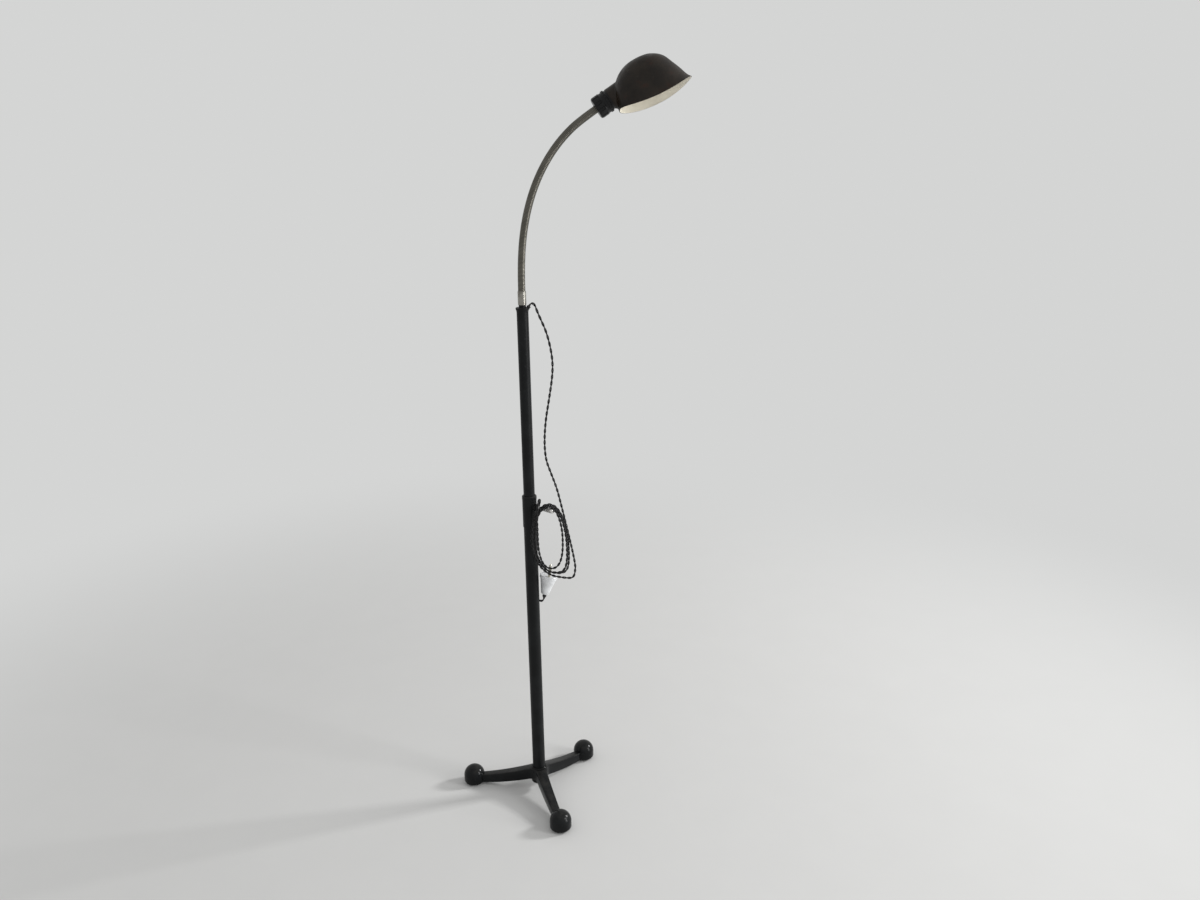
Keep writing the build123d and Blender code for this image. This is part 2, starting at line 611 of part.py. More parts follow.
# ---------------------------------------------------------------- cord and plug
def coil_quarters():
    """Points and directions at each quarter turn: right, lowest, left and highest of every loop."""
    stations = []
    for quarter in range(COIL_QUARTERS + 1):
        share = quarter / COIL_QUARTERS
        cx, half_w, cz, half_h = (a + (b - a) * share for a, b in zip(COIL_OUTER, COIL_INNER))
        y = COIL_OUTER_Y - COIL_PITCH * quarter / 4
        loose = 1 - share
        stations.append((
            ((cx + half_w, y, cz - COIL_DROOP * loose), (0, 0, -1)),
            ((cx + COIL_LEAN * loose, y, cz - half_h), (-1, 0, 0)),
            ((cx - half_w, y, cz), (0, 0, 1)),
            ((cx, y, cz + half_h), (1, 0, 0)),
        )[quarter % 4])
    return stations


def coil_path():
    start = Vector(*COIL_START)
    down = Vector(0, 0, -1)
    edges = [Line(start, start + down * CORD_D)]
    at, heading = start + down * CORD_D, down
    for point, direction in coil_quarters():
        point, direction = Vector(*point), Vector(*direction)
        edges += biarc(at, heading, point, direction)
        at, heading = point, direction
    edges.append(Line(at, at + heading * CORD_D))
    return edges, at + heading * CORD_D


def least_self_gap(edges, step=2.0):
    """Least gap between stretches of the coil that are more than three diameters apart along it."""
    points, run, travelled = [], [], 0.0
    for edge in edges:
        count = max(2, int(edge.length / step))
        for i in range(count):
            points.append(edge @ (i / count))
            run.append(travelled + edge.length * i / count)
        travelled += edge.length
    least = min((a - b).length for i, a in enumerate(points) for j, b in enumerate(points[:i])
                if run[i] - run[j] > 3 * CORD_D)
    return least - CORD_D, travelled


def make_cord():
    gland = gland_frame()
    exit_point = gland.origin + gland.z_dir * GLAND_FLANGE
    keep("cord_drop", free_cord("cord_drop", [tuple(exit_point), *CORD_DROP, COIL_START]))

    edges, coil_end = coil_path()
    gap, length = least_self_gap(edges)
    path = Wire(edges)
    coil = sweep(Plane(origin=COIL_START, z_dir=(0, 0, -1)) * Circle(CORD_D / 2), path=path)
    arcs = [edge.radius for edge in edges[1:-1]]
    print(f"cord_coil: length {length:.0f}, least gap to itself {gap:.2f}, least radius {min(arcs):.1f}, "
          f"volume over section times length {coil.volume / (pi * CORD_D**2 / 4 * length):.4f}")
    keep("cord_coil", coil)

    plug = plug_frame()
    sleeve_end = plug.origin - plug.z_dir * SLEEVE_LENGTH
    before = sleeve_end - plug.z_dir * 7
    tail = [tuple(coil_end), *CORD_TAIL, tuple(before), tuple(sleeve_end)]
    keep("cord_tail", free_cord("cord_tail", tail))


def plug_frame():
    lean = radians(PLUG_LEAN)
    return Plane(origin=PLUG_TIP, x_dir=(0, 1, 0), z_dir=(sin(lean), 0, cos(lean)))


def make_plug():
    frame = plug_frame()
    rim = PLUG_LENGTH - 7
    keep("plug_body", frame * lathe(
        (0, 0), (PLUG_TIP_R - 1, 0), (PLUG_TIP_R, 1.2), (PLUG_R - 1.5, rim), (PLUG_R, rim + 1), (PLUG_R, PLUG_LENGTH - 1),
        (PLUG_R - 1, PLUG_LENGTH), (0, PLUG_LENGTH)))
    keep("plug_sleeve", frame * lathe((0, -SLEEVE_LENGTH), (SLEEVE_R - 1, -SLEEVE_LENGTH), (SLEEVE_R, -SLEEVE_LENGTH + 1),
                                      (SLEEVE_R, 0), (0, 0)))
    pin = lathe((0, PLUG_LENGTH), (PIN_R, PLUG_LENGTH), (PIN_R, PLUG_LENGTH + PIN_LENGTH - 1.2),
                (PIN_R - 1.2, PLUG_LENGTH + PIN_LENGTH), (0, PLUG_LENGTH + PIN_LENGTH))
    pins = [frame * Pos(side * PIN_SPACING / 2, 0, 0) * pin for side in (-1, 1)]
    keep("plug_pins", Compound(children=pins))


def main():
    os.makedirs("parts", exist_ok=True)
    make_tripod()
    make_pole()
    make_clamp()
    make_swivel()
    holder = make_neck()
    make_holder(holder)
    make_shade(holder)
    make_cord()
    make_plug()


if __name__ == "__main__":
    main()
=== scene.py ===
"""Gooseneck reading floor lamp: its braided cord, its flexible neck and the finish of every part.

Lengths are in metres, except along the cord's route. The pole stands on the origin, +Z is up and the
neck bends towards +X.
"""
import json
import math

import bmesh
import bpy
import numpy as np
from bpy.props import FloatProperty, FloatVectorProperty, IntProperty, PointerProperty
from mathutils import Matrix, Vector

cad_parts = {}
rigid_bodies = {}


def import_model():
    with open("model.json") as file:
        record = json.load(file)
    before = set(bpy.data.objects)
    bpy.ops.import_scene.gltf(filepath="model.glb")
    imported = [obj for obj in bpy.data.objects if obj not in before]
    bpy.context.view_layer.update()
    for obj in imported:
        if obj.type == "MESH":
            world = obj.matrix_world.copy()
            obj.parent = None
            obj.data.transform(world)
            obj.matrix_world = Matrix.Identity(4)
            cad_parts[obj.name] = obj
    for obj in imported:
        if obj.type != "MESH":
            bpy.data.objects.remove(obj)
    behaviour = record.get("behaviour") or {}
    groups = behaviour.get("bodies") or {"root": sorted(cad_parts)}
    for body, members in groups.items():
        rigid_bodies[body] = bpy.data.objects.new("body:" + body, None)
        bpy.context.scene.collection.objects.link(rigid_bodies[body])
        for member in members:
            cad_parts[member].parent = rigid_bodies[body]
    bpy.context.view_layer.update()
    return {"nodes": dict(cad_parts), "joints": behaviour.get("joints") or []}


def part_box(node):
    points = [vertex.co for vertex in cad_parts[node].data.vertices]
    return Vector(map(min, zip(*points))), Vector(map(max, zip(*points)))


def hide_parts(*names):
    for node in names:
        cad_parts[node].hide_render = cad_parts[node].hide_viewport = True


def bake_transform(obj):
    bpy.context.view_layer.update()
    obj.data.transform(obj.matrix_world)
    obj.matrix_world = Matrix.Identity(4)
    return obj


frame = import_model()

bl_info = {
    "name": "Gooseneck Floor Lamp",
    "version": (1, 0, 0),
    "blender": (4, 5, 0),
    "location": "3D View > Sidebar > Floor Lamp",
    "description": "Makes the cord, the flexible neck and the finishes of a reading floor lamp",
    "category": "Add Mesh",
}

MM = 0.001

# ---------------------------------------------------------------- the cord's route, in millimetres
GLAND_MOUTH = (12.6, 0.0, 1058.04)
DROP = (
    (15.2, 0.0, 1062.5),
    (19.6, -0.4, 1063.6),
    (23.9, -0.9, 1059.8),
    (26.8, -1.2, 1050.6),
    (30.2, -1.4, 1041.4),
    (34.4, -1.8, 1031.6),
    (43.6, -2.9, 1009.0),
    (50.4, -4.0, 981.0),
    (54.4, -5.4, 949.0),
    (52.3, -7.1, 919.2),
    (45.0, -8.8, 878.0),
    (37.0, -10.1, 836.0),
    (33.2, -11.1, 793.0),
    (35.0, -12.0, 757.0),
    (43.6, -12.6, 731.0),
    (53.6, -14.0, 702.0),
    (59.4, -15.6, 679.0),
)
# outermost and innermost loop: centre x, half width, centre z, half height
LOOP_OUTER = (42.6, 45.4, 587.0, 82.4)
LOOP_INNER = (34.9, 21.1, 602.8, 62.8)
TAIL = (
    (13.8, -39.3, 627.0),
    (13.4, -40.7, 645.0),
    (14.8, -40.0, 662.0),
    (16.8, -31.5, 672.0),
    (18.4, -20.5, 675.5),
    (20.2, -9.0, 673.0),
    (21.0, 2.5, 666.0),
    (19.4, 12.0, 654.0),
    (14.8, 18.0, 640.0),
    (8.4, 21.0, 621.0),
    (4.0, 21.2, 597.0),
    (1.5, 20.6, 562.0),
    (1.5, 20.3, 518.0),
    (3.0, 19.5, 484.0),
    (4.8, 17.6, 461.0),
    (9.0, 14.8, 447.5),
    (15.6, 8.4, 443.0),
    (21.6, 3.0, 448.4),
    (23.2, 3.0, 455.2),
)
LOOPS_Y = -19.0  # where the outermost loop starts, in front of the pole
LOOP_SAG = 47.0  # how far the outermost loop's right side hangs below its oval
LOOP_DRIFT = 17.0  # how far its lowest point lies to the right of the oval's
LOOP_SQUARENESS = 2.3  # 2 would be an ellipse
LOOP_BUNCHING = 1.8  # 1 would space the loops evenly
LOOP_SWELL = 1.006  # makes up for the smooth line's cutting inside its control points

# ---------------------------------------------------------------- the cord's make, in metres
SPLINE_RESOLUTION = 24
LINE_STEP = 0.0016
STRAND_SIDES = 8
STRAND_FILL = 0.97  # leaves a hair's breadth between the two strands
SLACK_HALVES_IN = 0.15
THREADS_ROUND, THREADS_ALONG = 6.0, 3.0  # in the braid's pattern, per strand's girth

# ---------------------------------------------------------------- the neck
FERRULE_LAP = 0.002  # how far it starts inside the ferrule
BEND_POINTS = 400
RINGS_A_RIB = 6
GROOVE_SHARPNESS = 3  # the power that narrows the groove

# ---------------------------------------------------------------- CAD nodes
MERGE_DISTANCE = 1e-5
BULB_LOW, BULB_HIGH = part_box("bulb_glass")
SHADE_HEART = tuple((BULB_LOW + BULB_HIGH) / 2)

# ---------------------------------------------------------------- the studio
# each lamp's place, the point it faces, its width and height, and its power
LAMPS = {
    "key": ((5.35, 0.9, 2.9), (0.05, 0.0, 0.4), (0.85, 0.85), 185),
    "window": ((4.0, -1.85, 1.55), (0.05, 0.0, 1.2), (0.9, 3.0), 86),
}
FLOOR_HALF = 6.0
FLOOR_FADES = (0.7, 2.4)
CAMERA_PLACE = (0.0, -1.916, 1.36)
CAMERA_PITCH, CAMERA_ROLL, CAMERA_YAW = 17.1, -0.84, 4.27
SENSOR_WIDTH = 36.0
LENS = 1015.0 / 1200.0 * SENSOR_WIDTH  # 1015 pixels in a frame of 1200
CAMERA_REACH = 60.0


# ---------------------------------------------------------------- settings
def length_setting(name, description, default):
    return FloatProperty(name=name, description=description, default=default, unit="LENGTH")


def colour_setting(name, description, default):
    return FloatVectorProperty(name=name, description=description, default=default,
                               subtype="COLOR", size=3)


class CordSettings(bpy.types.PropertyGroup):
    diameter: length_setting("Diameter", "Across both strands", 0.005)
    lay: length_setting("Lay", "Length of one full twist of the pair", 0.021)
    slack_lay: length_setting("Slack lay", "The same near the pole's cap, where it has slackened", 0.029)
    turns: FloatProperty(name="Turns", description="Loops over the clamp's handle", default=3.5)
    pitch: length_setting("Pitch", "Step towards the front, a turn", 0.0058)
    points_a_turn: IntProperty(name="Points a turn", description="Control points in each loop",
                               default=16)
    colour: colour_setting("Colour", "Braid", (0.008, 0.008, 0.0085))


class NeckSettings(bpy.types.PropertyGroup):
    radius: length_setting("Radius", "Over the ribs", 0.007)
    rib_pitch: length_setting("Rib pitch", "From one wound rib to the next", 0.0024)
    rib_depth: length_setting("Rib depth", "Depth of the groove", 0.0003)
    sides: IntProperty(name="Sides", description="Faces round the neck", default=28)
    colour: colour_setting("Colour", "Plating", (0.155, 0.147, 0.127))


class FinishSettings(bpy.types.PropertyGroup):
    paint: colour_setting("Stand paint", "Tripod and pole", (0.006, 0.0066, 0.007))
    shade_outside: colour_setting("Shade outside", "Worn brown paint", (0.0085, 0.006, 0.004))
    shade_inside: colour_setting("Shade inside", "Enamel", (0.74, 0.70, 0.60))
    holder: colour_setting("Holder", "Moulded holder", (0.004, 0.004, 0.0043))
    plug: colour_setting("Plug", "Moulded plug", (0.60, 0.61, 0.62))


class StudioSettings(bpy.types.PropertyGroup):
    floor: colour_setting("Floor", "Plain pale floor", (0.68, 0.68, 0.67))
    backdrop: colour_setting("Backdrop", "What the camera sees behind", (0.66, 0.665, 0.66))
    level: FloatProperty(name="Light level", description="Strength of the even light", default=0.55)


# ---------------------------------------------------------------- meshes
def grid_mesh(name, points, closed_u=False, uv=None, cap_start=False, cap_end=False):
    """A mesh from an array of points (rows, columns, 3): each row is joined to the next by four-sided
    faces, and closed_u joins a row's last column to its first. Caps are fans about a row's middle."""
    rows, cols = points.shape[:2]
    index = np.arange(rows * cols).reshape(rows, cols)
    following = np.roll(index, -1, axis=1) if closed_u else index[:, 1:]
    here = index if closed_u else index[:, :-1]
    faces = np.stack([here[:-1], following[:-1], following[1:], here[1:]], axis=-1).reshape(-1, 4)
    vertices = points.reshape(-1, 3)
    polygons = [tuple(f) for f in faces.tolist()]
    for wanted, row, flip in ((cap_start, 0, True), (cap_end, rows - 1, False)):
        if wanted:
            centre = len(vertices)
            vertices = np.vstack([vertices, points[row].mean(axis=0)])
            ring = index[row].tolist()
            pairs = zip(ring, ring[1:] + ring[:1])
            polygons += [(b, a, centre) if flip else (a, b, centre) for a, b in pairs]
    mesh = bpy.data.meshes.new(name)
    mesh.from_pydata(vertices.tolist(), [], polygons)
    if uv is not None:
        layer = mesh.uv_layers.new(name="UVMap")
        corners = np.empty(len(mesh.loops), np.int32)
        mesh.loops.foreach_get("vertex_index", corners)
        flat = np.vstack([uv.reshape(-1, 2), np.zeros((len(vertices) - rows * cols, 2))])
        layer.data.foreach_set("uv", flat[corners].astype(np.float32).ravel())
    mesh.polygons.foreach_set("use_smooth", np.ones(len(mesh.polygons), bool))
    mesh.update()
    return mesh


def add_piece(name, mesh, material):
    piece = bpy.data.objects.new(name, mesh)
    bpy.context.scene.collection.objects.link(piece)
    mesh.materials.append(material)
    return piece


def along(points):
    """Distance travelled along a row of points."""
    return np.concatenate([[0.0], np.cumsum(np.linalg.norm(np.diff(points, axis=0), axis=1))])


def evenly(points, step):
    """The same line with its points a fixed step apart."""
    run = along(points)
    count = max(2, int(round(run[-1] / step)) + 1)
    stations = np.linspace(0.0, run[-1], count)
    return np.stack([np.interp(stations, run, points[:, k]) for k in range(3)], axis=1), stations


def carried_frames(points):
    """Two directions square to the line at each point, carried along it without twisting: each pair
    is the one before it, less its part along the new tangent."""
    tangents = np.gradient(points, axis=0)
    tangents /= np.linalg.norm(tangents, axis=1)[:, None]
    first = np.empty_like(tangents)
    side = np.cross(tangents[0], (0.0, 1.0, 0.0))
    for i, tangent in enumerate(tangents):
        side = side - tangent * (side @ tangent)
        side /= np.linalg.norm(side)
        first[i] = side
    return tangents, first, np.cross(tangents, first)


def circles(line, radius, first, second, ring):
    """A circle about each point of a line: the point + radius (cos a first + sin a second), for each
    angle a of the ring."""
    return line[:, None] + radius * (np.cos(ring)[None, :, None] * first[:, None]
                                     + np.sin(ring)[None, :, None] * second[:, None])


# ---------------------------------------------------------------- materials
class Recipe:
    """A node material round one Principled shader, with patterns in the object's own metres."""

    def __init__(self, name, **sockets):
        self.material = bpy.data.materials.new(name)
        self.material.use_nodes = True
        self.tree = self.material.node_tree
        self.shader = self.tree.nodes["Principled BSDF"]
        self.place = self.add("ShaderNodeTexCoord").outputs["Object"]
        for socket, value in sockets.items():
            label = socket.replace("_", " ").title().replace("Ior", "IOR")
            self.shader.inputs[label].default_value = value

    def add(self, kind, **settings):
        node = self.tree.nodes.new(kind)
        for key, value in settings.items():
            setattr(node, key, value)
        return node

    def feed(self, socket, value):
        """Links an output to a socket, or sets the socket to a number or a colour."""
        if isinstance(value, bpy.types.NodeSocket):
            self.tree.links.new(value, socket)
        elif isinstance(value, tuple):
            socket.default_value = (*value, 1.0)
        else:
            socket.default_value = value

    def split(self, vector):
        node = self.add("ShaderNodeSeparateXYZ")
        self.feed(node.inputs[0], vector)
        return node.outputs

    def normal(self):
        return self.add("ShaderNodeTexCoord").outputs["Normal"]

    def own_map(self):
        return self.add("ShaderNodeUVMap", uv_map="UVMap").outputs["UV"]

    def noise(self, scale, detail=5.0, roughness=0.55, stretch=(1, 1, 1)):
        mapping = self.add("ShaderNodeMapping")
        mapping.inputs["Scale"].default_value = stretch
        self.feed(mapping.inputs["Vector"], self.place)
        node = self.add("ShaderNodeTexNoise")
        node.inputs["Scale"].default_value = scale
        node.inputs["Detail"].default_value = detail
        node.inputs["Roughness"].default_value = roughness
        self.feed(node.inputs["Vector"], mapping.outputs["Vector"])
        return node.outputs["Fac"]

    def ramp(self, factor, low, high, to_low=0.0, to_high=1.0):
        """A soft step from to_low, where the factor is low, to to_high, where it is high."""
        node = self.add("ShaderNodeMapRange", interpolation_type="SMOOTHSTEP")
        limits = {"From Min": low, "From Max": high, "To Min": to_low, "To Max": to_high}
        for label, value in limits.items():
            node.inputs[label].default_value = value
        self.feed(node.inputs["Value"], factor)
        return node.outputs["Result"]

    def mix(self, factor, first, second):
        """Two colours mixed. Sockets 6 and 7 in and 2 out are the node's colour ones."""
        node = self.add("ShaderNodeMix", data_type="RGBA")
        self.feed(node.inputs["Factor"], factor)
        self.feed(node.inputs[6], first)
        self.feed(node.inputs[7], second)
        return node.outputs[2]

    def math(self, operation, first, second=0.0, third=None):
        node = self.add("ShaderNodeMath", operation=operation)
        self.feed(node.inputs[0], first)
        self.feed(node.inputs[1], second)
        if third is not None:
            self.feed(node.inputs[2], third)
        return node.outputs[0]

    def colour(self, value):
        self.feed(self.shader.inputs["Base Color"], value)

    def rough(self, value):
        self.feed(self.shader.inputs["Roughness"], value)

    def bump(self, height, depth, strength=1.0):
        node = self.add("ShaderNodeBump")
        node.inputs["Strength"].default_value = strength
        node.inputs["Distance"].default_value = depth
        self.feed(node.inputs["Height"], height)
        self.feed(self.shader.inputs["Normal"], node.outputs["Normal"])
        return self.material


def scaled(colour, factor):
    return tuple(min(1.0, c * factor) for c in colour)


def stand_paint(name, colour, smooth, dull):
    """Old black paint over cast iron and tube: dull patches, a slight orange peel, and a film of dust
    where a face points up. Its roughness lies between smooth and dull."""
    recipe = Recipe(name, specular_ior_level=0.15)
    patches = recipe.ramp(recipe.noise(22, 7), 0.42, 0.66)
    chips = recipe.ramp(recipe.noise(160, 8, 0.7), 0.60, 0.72)
    faces_up = recipe.ramp(recipe.split(recipe.normal())["Z"], 0.35, 0.95)
    dusty = recipe.math("MULTIPLY", faces_up, recipe.ramp(recipe.noise(70, 9, 0.7), 0.3, 0.8))
    painted = recipe.mix(chips, recipe.mix(patches, colour, scaled(colour, 1.7)), scaled(colour, 3.5))
    dust = (0.030, 0.029, 0.027)
    recipe.colour(recipe.mix(dusty, painted, dust))
    recipe.rough(recipe.ramp(recipe.noise(48, 6), 0.3, 0.7, smooth, dull))
    peel = recipe.math("ADD", recipe.noise(900, 3), recipe.math("MULTIPLY", recipe.noise(75, 6), 1.5))
    return recipe.bump(peel, 0.00008, 0.25)


def plating(name, colour, tarnish):
    """Plated metal gone a little dull: a fine grain, and darker tarnish in patches."""
    recipe = Recipe(name, metallic=1.0)
    patches = recipe.ramp(recipe.noise(36, 8, 0.65), 0.4, 0.72)
    recipe.colour(recipe.mix(patches, colour, tarnish))
    recipe.rough(recipe.ramp(recipe.noise(240, 5), 0.3, 0.75, 0.22, 0.46))
    return recipe.bump(recipe.noise(1400, 3), 0.00005, 0.4)


def wound_metal(colour):
    """Worn plating on the wound neck: tarnished in soft patches, and darker in the groove, a painted
    shade there as well as dirt; the groove is read from the piece's own map, u round it and v along it in
    rib pitches."""
    recipe = Recipe("neck_plating", metallic=1.0)
    place = recipe.split(recipe.own_map())
    winding = recipe.math("ADD", place["X"], place["Y"])
    wave = recipe.math("COSINE", recipe.math("MULTIPLY", winding, 2 * math.pi))
    patches = recipe.ramp(recipe.noise(30, 6), 0.4, 0.7)
    worn = recipe.mix(patches, colour, scaled(colour, 0.72))
    # the groove's darker colour is painted shade, as well as the dirt that lies there
    recipe.colour(recipe.mix(recipe.ramp(wave, 0.35, 0.95), worn, scaled(colour, 0.22)))
    recipe.rough(recipe.ramp(recipe.noise(90, 4), 0.3, 0.7, 0.30, 0.40))
    return recipe.bump(recipe.noise(500, 3), 0.00003, 0.3)


def moulding(name, colour, roughness, coat=0.4, gloss=0.5):
    """Moulded plastic: nearly even, with a faint flow pattern in its gloss."""
    recipe = Recipe(name, coat_weight=coat, coat_roughness=0.12, specular_ior_level=gloss)
    recipe.colour(recipe.mix(recipe.ramp(recipe.noise(40, 6), 0.35, 0.7), colour, scaled(colour, 1.35)))
    recipe.rough(recipe.ramp(recipe.noise(130, 5), 0.3, 0.7, roughness * 0.8, roughness * 1.3))
    return recipe.bump(recipe.noise(1100, 3), 0.00006, 0.35)


def shade_paint(outside, inside):
    """Brown-black paint outside, rubbed through in places, and yellowed enamel inside.

    A face is inside where its normal points towards the middle of the bulb, which the scoop surrounds."""
    recipe = Recipe("shade_paint", specular_ior_level=0.25)
    heart = recipe.add("ShaderNodeVectorMath", operation="SUBTRACT")
    recipe.feed(heart.inputs[0], recipe.place)
    heart.inputs[1].default_value = SHADE_HEART
    facing = recipe.add("ShaderNodeVectorMath", operation="DOT_PRODUCT")
    recipe.feed(facing.inputs[0], recipe.normal())
    recipe.feed(facing.inputs[1], heart.outputs[0])
    is_inside = recipe.math("LESS_THAN", facing.outputs["Value"], 0.0)
    mottled = recipe.ramp(recipe.noise(26, 8, 0.65), 0.38, 0.66)
    rubbed = recipe.ramp(recipe.noise(75, 9, 0.72), 0.60, 0.72)
    rusty = recipe.ramp(recipe.noise(48, 9, 0.7, stretch=(1, 1, 1.4)), 0.54, 0.7)
    rust, bare = (0.022, 0.009, 0.005), (0.036, 0.033, 0.024)
    coat = recipe.mix(mottled, outside, scaled(outside, 2.2))
    coat = recipe.mix(rusty, coat, rust)
    coat = recipe.mix(rubbed, coat, bare)
    enamel = recipe.mix(recipe.ramp(recipe.noise(30, 7), 0.4, 0.75), inside, scaled(inside, 0.86))
    recipe.colour(recipe.mix(is_inside, coat, enamel))
    recipe.rough(recipe.ramp(recipe.noise(60, 7), 0.3, 0.7, 0.36, 0.56))
    dents = recipe.math("ADD", recipe.noise(500, 5), recipe.math("MULTIPLY", recipe.noise(40, 4), 2.0))
    return recipe.bump(dents, 0.00012, 0.5)


def braid(colour):
    """Two sets of threads that cross round the strand, read from the strand's own map: u runs round it
    and v along it, a unit to a strand's girth. The colour is lighter where the threads rise, a painted
    highlight, and darker between them, a painted shade."""
    recipe = Recipe("cord_braid", sheen_weight=0.08, sheen_roughness=0.4, specular_ior_level=0.25)
    place = recipe.split(recipe.own_map())
    waves = []
    for sign in (1.0, -1.0):
        along_it = recipe.math("MULTIPLY", place["Y"], THREADS_ALONG)
        phase = recipe.math("MULTIPLY_ADD", place["X"], THREADS_ROUND * sign, along_it)
        waves.append(recipe.math("SINE", recipe.math("MULTIPLY", phase, 2 * math.pi)))
    cross = recipe.math("MAXIMUM", waves[0], waves[1])
    # painted highlight on the threads' crests and painted shade between them, in the braid's colour
    lit = recipe.ramp(cross, 0.2, 1.0)
    recipe.colour(recipe.mix(lit, scaled(colour, 0.5), scaled(colour, 2.2)))
    recipe.rough(recipe.ramp(recipe.noise(300, 4), 0.3, 0.7, 0.5, 0.72))
    return recipe.bump(cross, 0.00018, 0.7)


def opal_glass():
    """White lamp glass, slightly glossy, with a soft cloudiness."""
    recipe = Recipe("opal_glass", subsurface_weight=0.3, coat_weight=0.3)
    recipe.colour(recipe.mix(recipe.noise(30, 4), (0.86, 0.86, 0.83), (0.93, 0.93, 0.91)))
    recipe.rough(recipe.ramp(recipe.noise(160, 3), 0.3, 0.7, 0.16, 0.26))
    return recipe.bump(recipe.noise(700, 2), 0.00003, 0.3)


# ---------------------------------------------------------------- finishing CAD nodes
def finish_node(name, material, soft_angle=35.0):
    """Gives a CAD node its material, merges its loose triangles and shades it smooth up to an angle."""
    node = frame["nodes"][name]
    node.data.materials.clear()
    node.data.materials.append(material)
    node.data.polygons.foreach_set("use_smooth", np.ones(len(node.data.polygons), bool))
    weld = node.modifiers.new("Merge", "WELD")
    weld.merge_threshold = MERGE_DISTANCE
    split = node.modifiers.new("Crease", "EDGE_SPLIT")
    split.split_angle = math.radians(soft_angle)


def finish_nodes(names, material):
    for name in names:
        finish_node(name, material)


# ---------------------------------------------------------------- operators
class LAMP_OT_cord(bpy.types.Operator):
    """Twisted pair from the pole's cap down to the loops, over them and round the pole to the plug"""
    bl_idname = "floor_lamp.cord"
    bl_label = "Cord"

    def execute(self, context):
        cord = context.scene.lamp_cord
        control = np.array([GLAND_MOUTH, *DROP, *loop_points(cord), *TAIL]) * MM
        line, stations = evenly(nurbs_line(control), LINE_STEP)
        mesh = twisted_pair("cord", line, stations, cord)
        piece = add_piece("cord", mesh, braid(tuple(cord.colour)))
        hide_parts("cord_drop", "cord_coil", "cord_tail")
        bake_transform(piece)
        return {"FINISHED"}


def loop_points(cord):
    """Control points of the loops in millimetres, from the outermost, at the back, to the innermost.

    The angle turns clockwise from the right. Each loop is an oval a little squarer than an ellipse,
    whose centre, width and height go from the outer values to the inner ones, slowest halfway, where
    two loops lie together. The outer loops sag: their right side hangs low and their lowest point
    drifts to the right."""
    count = int(round(cord.turns * cord.points_a_turn))
    turn = np.linspace(0.0, cord.turns, count + 1)
    halfway = 2 * turn / cord.turns - 1
    share = (0.5 + 0.5 * np.sign(halfway) * np.abs(halfway) ** LOOP_BUNCHING)[:, None]
    oval = np.array(LOOP_OUTER) * (1 - share) + np.array(LOOP_INNER) * share
    centre_x, half_width, centre_z, half_height = oval.T
    angle = -2 * math.pi * turn
    c, s = np.cos(angle), np.sin(angle)
    power = LOOP_SQUARENESS
    bulge = (np.abs(c) ** power + np.abs(s) ** power) ** (-1 / power) * LOOP_SWELL
    loose = 1 - share[:, 0]
    x = centre_x + half_width * c * bulge + LOOP_DRIFT * loose * np.clip(-s, 0, 1) ** 2
    z = centre_z + half_height * s * bulge - LOOP_SAG * loose * np.clip(c, 0, 1) ** 2
    y = LOOPS_Y - cord.pitch / MM * turn
    return np.stack([x, y, z], axis=1)


def nurbs_line(control):
    """The smooth line of a third-order NURBS spline with these control points, as points."""
    curve = bpy.data.curves.new("route", "CURVE")
    curve.dimensions = "3D"
    spline = curve.splines.new("NURBS")
    spline.points.add(len(control) - 1)
    spline.points.foreach_set("co", np.hstack([control, np.ones((len(control), 1))]).ravel())
    spline.order_u = 3
    spline.use_endpoint_u = True
    spline.resolution_u = SPLINE_RESOLUTION
    holder = bpy.data.objects.new("route", curve)
    bpy.context.scene.collection.objects.link(holder)
    bpy.context.view_layer.update()
    mesh = bpy.data.meshes.new_from_object(holder)
    points = np.empty(len(mesh.vertices) * 3)
    mesh.vertices.foreach_get("co", points)
    bpy.data.objects.remove(holder)
    bpy.data.curves.remove(curve)
    bpy.data.meshes.remove(mesh)
    return points.reshape(-1, 3)


def twisted_pair(name, line, stations, cord):
    """Two round strands that turn about the line once a lay: each strand's own centre is a quarter of
    the cord's diameter from the line, and its surface is a circle of nearly that radius about its centre.
    The lay shortens from its slack value at the cap to its usual one, by half every SLACK_HALVES_IN."""
    tangent, first, second = carried_frames(line)
    strand = cord.diameter / 4
    lay = cord.lay + (cord.slack_lay - cord.lay) * 0.5 ** (stations / SLACK_HALVES_IN)
    turn = 2 * math.pi * np.cumsum(np.gradient(stations) / lay)
    ring = np.linspace(0, 2 * math.pi, STRAND_SIDES, endpoint=False)
    u = np.broadcast_to(ring / (2 * math.pi), (len(line), STRAND_SIDES))
    v = np.broadcast_to((stations / (2 * math.pi * strand))[:, None], (len(line), STRAND_SIDES))
    meshes = []
    for half in (0.0, math.pi):
        out = np.cos(turn + half)[:, None] * first + np.sin(turn + half)[:, None] * second
        points = circles(line + out * strand, STRAND_FILL * strand, out, np.cross(tangent, out), ring)
        meshes.append(grid_mesh(name, points, closed_u=True, uv=np.stack([u, v], axis=-1),
                                cap_start=True, cap_end=True))
    return joined(name, meshes)


def joined(name, meshes):
    """Several meshes as one, with their maps."""
    work = bmesh.new()
    for mesh in meshes:
        work.from_mesh(mesh)
        bpy.data.meshes.remove(mesh)
    result = bpy.data.meshes.new(name)
    work.to_mesh(result)
    work.free()
    result.polygons.foreach_set("use_smooth", np.ones(len(result.polygons), bool))
    return result


